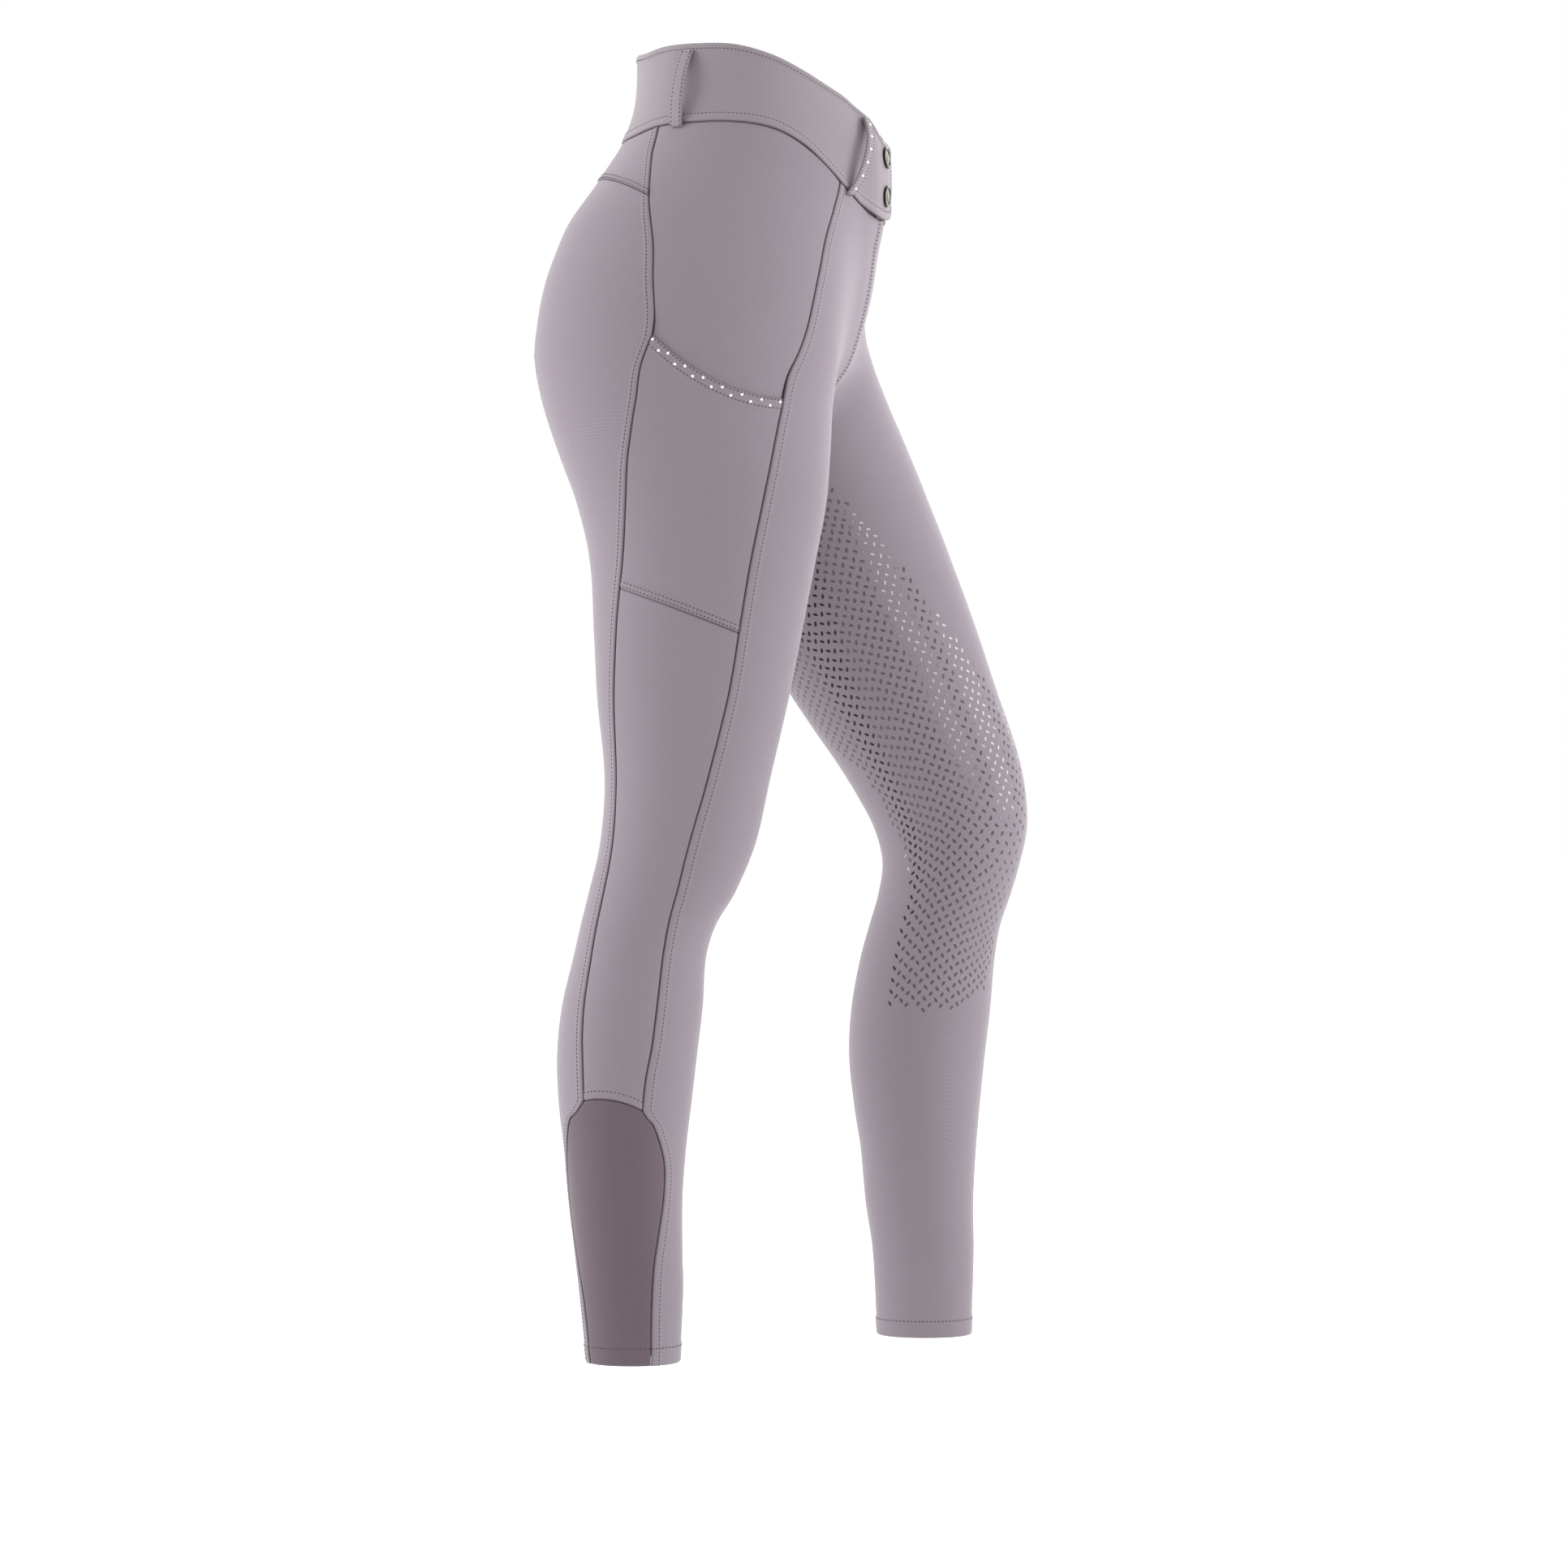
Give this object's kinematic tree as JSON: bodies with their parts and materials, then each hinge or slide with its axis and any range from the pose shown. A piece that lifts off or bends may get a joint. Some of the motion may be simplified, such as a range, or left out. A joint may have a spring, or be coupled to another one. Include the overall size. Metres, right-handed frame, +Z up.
{
  "type": "riding breeches",
  "caption": "Women's high-waisted riding breeches in stretch knit, filled out in a walking stance, with a shaped waistband, belt loops, thigh pockets and elastic ankle panels.",
  "frame": {"origin": "centre of the waist ring, where a body or hanger holds the garment up, half-way up the waistband at the sides", "axes": "+Z up along the body, -Y towards the wearer's front, -X towards the wearer's right"},
  "size_m": [0.3541, 0.3811, 0.9998],
  "materials": {
    "knit_cloth": "matte grey-mauve stretch knit",
    "ankle_elastic": "matte thin stretch jersey, darker than the knit",
    "waistband_cloth": "smooth matte bonded knit",
    "snap_metal": "polished nickel-plated"
  },
  "bodies": {
    "root": {"right_leg_wrap": "knit_cloth", "right_yoke": "knit_cloth", "right_hip_panel": "knit_cloth", "right_pocket": "knit_cloth", "right_side_panel": "knit_cloth", "right_ankle_panel": "ankle_elastic", "right_front_loop": "knit_cloth", "right_back_loop": "knit_cloth", "left_leg_wrap": "knit_cloth", "left_yoke": "knit_cloth", "left_hip_panel": "knit_cloth", "left_pocket": "knit_cloth", "left_side_panel": "knit_cloth", "left_ankle_panel": "ankle_elastic", "left_front_loop": "knit_cloth", "left_back_loop": "knit_cloth", "waistband": "waistband_cloth", "snap_1": "snap_metal", "snap_2": "snap_metal"}
  },
  "joints": []
}
